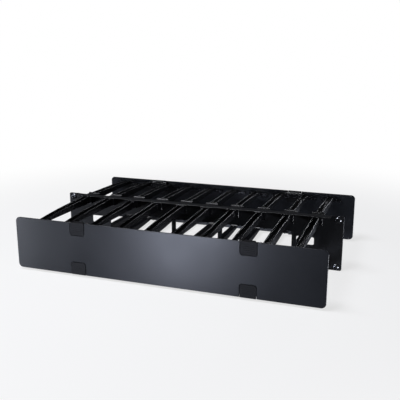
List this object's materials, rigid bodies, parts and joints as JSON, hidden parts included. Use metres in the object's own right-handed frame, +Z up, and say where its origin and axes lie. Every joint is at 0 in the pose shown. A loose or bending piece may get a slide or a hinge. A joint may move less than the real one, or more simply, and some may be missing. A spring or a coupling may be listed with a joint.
{
  "type": "horizontal cable manager",
  "caption": "Two-unit rack cable manager: a windowed mounting panel with rows of channel fingers front and back, and a flat hinged cover closing each side.",
  "frame": {"origin": "centre of the mounting panel, on the plane where its ears meet the rack posts", "axes": "+X to the right as the front cover is faced, along the rack's width; +Y from the front cover to the rear cover, into the rack; +Z up"},
  "size_m": [0.4826, 0.3206, 0.0882],
  "materials": {
    "panel_paint": "black powder coat, fine texture",
    "cover_paint": "satin dark grey paint",
    "finger_plastic": "glossy black moulding",
    "clip_plastic": "dull black moulding",
    "screw_steel": "bright zinc"
  },
  "bodies": {
    "frame": {"finger_front_bottom_01": "finger_plastic", "finger_front_bottom_02": "finger_plastic", "finger_front_bottom_03": "finger_plastic", "finger_front_bottom_04": "finger_plastic", "finger_front_bottom_05": "finger_plastic", "finger_front_bottom_06": "finger_plastic", "finger_front_bottom_07": "finger_plastic", "finger_front_bottom_08": "finger_plastic", "finger_front_bottom_09": "finger_plastic", "finger_front_bottom_10": "finger_plastic", "finger_front_top_01": "finger_plastic", "finger_front_top_02": "finger_plastic", "finger_front_top_03": "finger_plastic", "finger_front_top_04": "finger_plastic", "finger_front_top_05": "finger_plastic", "finger_front_top_06": "finger_plastic", "finger_front_top_07": "finger_plastic", "finger_front_top_08": "finger_plastic", "finger_front_top_09": "finger_plastic", "finger_front_top_10": "finger_plastic", "finger_rear_bottom_01": "finger_plastic", "finger_rear_bottom_02": "finger_plastic", "finger_rear_bottom_03": "finger_plastic", "finger_rear_bottom_04": "finger_plastic", "finger_rear_bottom_05": "finger_plastic", "finger_rear_bottom_06": "finger_plastic", "finger_rear_bottom_07": "finger_plastic", "finger_rear_bottom_08": "finger_plastic", "finger_rear_bottom_09": "finger_plastic", "finger_rear_bottom_10": "finger_plastic", "finger_rear_top_01": "finger_plastic", "finger_rear_top_02": "finger_plastic", "finger_rear_top_03": "finger_plastic", "finger_rear_top_04": "finger_plastic", "finger_rear_top_05": "finger_plastic", "finger_rear_top_06": "finger_plastic", "finger_rear_top_07": "finger_plastic", "finger_rear_top_08": "finger_plastic", "finger_rear_top_09": "finger_plastic", "finger_rear_top_10": "finger_plastic", "hinge_bracket_front_bottom_left": "finger_plastic", "hinge_bracket_front_bottom_right": "finger_plastic", "hinge_bracket_front_top_left": "finger_plastic", "hinge_bracket_front_top_right": "finger_plastic", "hinge_bracket_rear_bottom_left": "finger_plastic", "hinge_bracket_rear_bottom_right": "finger_plastic", "hinge_bracket_rear_top_left": "finger_plastic", "hinge_bracket_rear_top_right": "finger_plastic", "mounting_panel": "panel_paint", "rack_screws": "screw_steel"},
    "front_cover_body": {"front_cover": "cover_paint", "cover_clip_front_bottom_left": "clip_plastic", "cover_clip_front_bottom_right": "clip_plastic", "cover_clip_front_top_left": "clip_plastic", "cover_clip_front_top_right": "clip_plastic"},
    "rear_cover_body": {"rear_cover": "cover_paint", "cover_clip_rear_bottom_left": "clip_plastic", "cover_clip_rear_bottom_right": "clip_plastic", "cover_clip_rear_top_left": "clip_plastic", "cover_clip_rear_top_right": "clip_plastic"}
  },
  "joints": [
    {"name": "front_cover_hinge", "type": "hinge", "parent": "frame", "child": "front_cover_body", "pos_m": [0, -0.154, 0.0375], "axis": [-1, 0, 0], "range_deg": [0, 100]},
    {"name": "rear_cover_hinge", "type": "hinge", "parent": "frame", "child": "rear_cover_body", "pos_m": [0, 0.1524, 0.0375], "axis": [1, 0, 0], "range_deg": [0, 100]}
  ]
}
